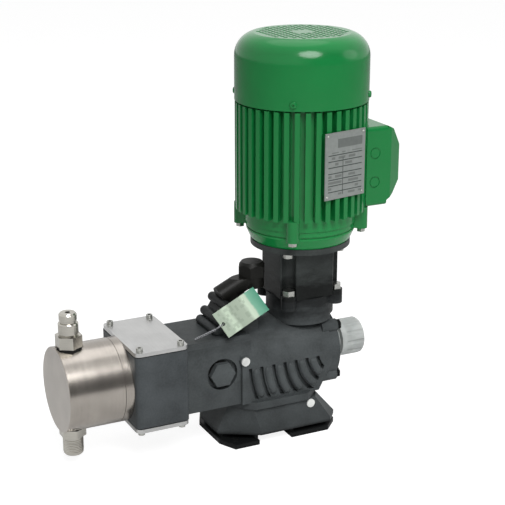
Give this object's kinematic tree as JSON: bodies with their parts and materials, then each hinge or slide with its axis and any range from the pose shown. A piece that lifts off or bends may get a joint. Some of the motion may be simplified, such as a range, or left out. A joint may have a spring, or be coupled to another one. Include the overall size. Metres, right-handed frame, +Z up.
{
  "type": "diaphragm metering pump",
  "caption": "Motor-driven diaphragm metering pump: upright finned motor over a worm gearbox on a cast foot, with a lantern and a round head with ball-valve unions below and above.",
  "frame": {"origin": "centre of the four-hole bolt pattern, on the underside of the base", "axes": "+X along the pump axis, from the head towards the stroke knob; +Z up along the motor axis; -Y towards the side with the oil plug and the motor nameplate"},
  "size_m": [0.372, 0.1423, 0.4226],
  "materials": {
    "housing_paint": "satin slate-grey enamel on a cast surface",
    "lantern_paint": "satin dark-grey enamel",
    "adapter_paint": "satin dark-grey enamel on a casting",
    "plate_metal": "satin rolled plate",
    "stainless_turned": "turned stainless steel",
    "stainless_fitting": "machined stainless steel",
    "motor_paint": "gloss green enamel",
    "black_plastic": "moulded, matt",
    "white_plastic": "moulded, satin",
    "knob_plastic": "moulded, satin",
    "black_rubber": "matt",
    "zinc_screws": "zinc plated",
    "black_bolts": "black oxide",
    "machined_steel": "machined",
    "bronze": "hobbed bronze",
    "lamination": "stacked laminations and lacquered windings",
    "plate_print": "satin anodised",
    "tag_card": "coated card"
  },
  "bodies": {
    "pump": {"base": "housing_paint", "base_screws": "zinc_screws", "gear_housing": "housing_paint", "filler_neck": "black_plastic", "oil_plug": "housing_paint", "oil_plug_washer": "black_rubber", "white_plugs": "white_plastic", "side_cover": "housing_paint", "side_cover_screws": "zinc_screws", "rear_cover": "housing_paint", "rear_cover_bolts": "black_bolts", "worm_bearings": "machined_steel", "worm_oil_seal": "black_rubber", "camshaft_bearings": "machined_steel", "return_spring": "machined_steel", "seal_carrier": "machined_steel", "rod_seal": "black_rubber", "scale_sleeve": "knob_plastic", "lantern_body": "lantern_paint", "lantern_gaskets": "black_rubber", "lantern_cover_top": "plate_metal", "lantern_cover_bottom": "plate_metal", "lantern_plate_screws": "zinc_screws", "lantern_joint_screws": "zinc_screws", "backing_ring": "stainless_turned", "diaphragm": "black_rubber", "pump_head": "stainless_turned", "suction_valve_body": "stainless_fitting", "discharge_valve_body": "stainless_fitting", "valve_gaskets": "black_rubber", "valve_seats": "stainless_fitting", "valve_cages": "stainless_fitting", "motor_adapter": "adapter_paint", "adapter_bolts": "zinc_screws", "motor_end_shield": "motor_paint", "motor_frame": "motor_paint", "motor_fasteners": "zinc_screws", "stator": "lamination", "motor_bearings": "machined_steel", "motor_rear_shield": "motor_paint", "fan_cover": "motor_paint", "terminal_box": "motor_paint", "terminal_box_lid": "motor_paint", "terminal_block": "black_plastic", "nameplate": "plate_print", "hang_tag": "tag_card"},
    "motor_rotor": {"rotor": "machined_steel", "coupling_sleeve": "machined_steel", "worm_shaft": "machined_steel", "cooling_fan": "black_plastic"},
    "camshaft_assembly": {"camshaft": "machined_steel", "worm_wheel": "bronze"},
    "crosshead_assembly": {"crosshead": "machined_steel", "push_rod": "stainless_fitting"},
    "stop_fork_body": {"stop_fork": "machined_steel"},
    "knob_assembly": {"stroke_knob": "knob_plastic", "stroke_spindle": "stainless_fitting"},
    "suction_valve_ball": {"suction_ball": "stainless_fitting"},
    "discharge_valve_ball": {"discharge_ball": "stainless_fitting"},
    "filler_cap_body": {"filler_cap": "black_plastic"}
  },
  "joints": [
    {"name": "motor_spin", "type": "hinge", "parent": "pump", "child": "motor_rotor", "pos_m": [0.04, 0, 0.3], "axis": [0, 0, 1], "continuous": true},
    {"name": "camshaft_spin", "type": "hinge", "parent": "pump", "child": "camshaft_assembly", "pos_m": [0.008, 0, 0.084], "axis": [0, 1, 0], "continuous": true},
    {"name": "crosshead_slide", "type": "slide", "parent": "pump", "child": "crosshead_assembly", "axis": [-1, 0, 0], "range_m": [0, 0.01], "stiffness_N_per_m": 3000, "springref_m": -0.004, "deforming": ["return_spring", "diaphragm"]},
    {"name": "stop_slide", "type": "slide", "parent": "pump", "child": "stop_fork_body", "axis": [-1, 0, 0], "range_m": [0, 0.01]},
    {"name": "knob_turn", "type": "hinge", "parent": "stop_fork_body", "child": "knob_assembly", "pos_m": [0.098, 0, 0.084], "axis": [-1, 0, 0], "range_deg": [0, 1440]},
    {"name": "suction_ball_lift", "type": "slide", "parent": "pump", "child": "suction_valve_ball", "axis": [0, 0, 1], "range_m": [0, 0.003]},
    {"name": "discharge_ball_lift", "type": "slide", "parent": "pump", "child": "discharge_valve_ball", "axis": [0, 0, 1], "range_m": [0, 0.003]},
    {"name": "filler_cap_turn", "type": "hinge", "parent": "pump", "child": "filler_cap_body", "pos_m": [-0.017, 0, 0.18], "axis": [0, 0, 1], "range_deg": [0, 720]}
  ],
  "couplings": [
    {"joint": "camshaft_spin", "follows": "motor_spin", "ratio": 0.035714},
    {"joint": "knob_turn", "follows": "stop_slide", "rad_per_m": 2513.3}
  ]
}
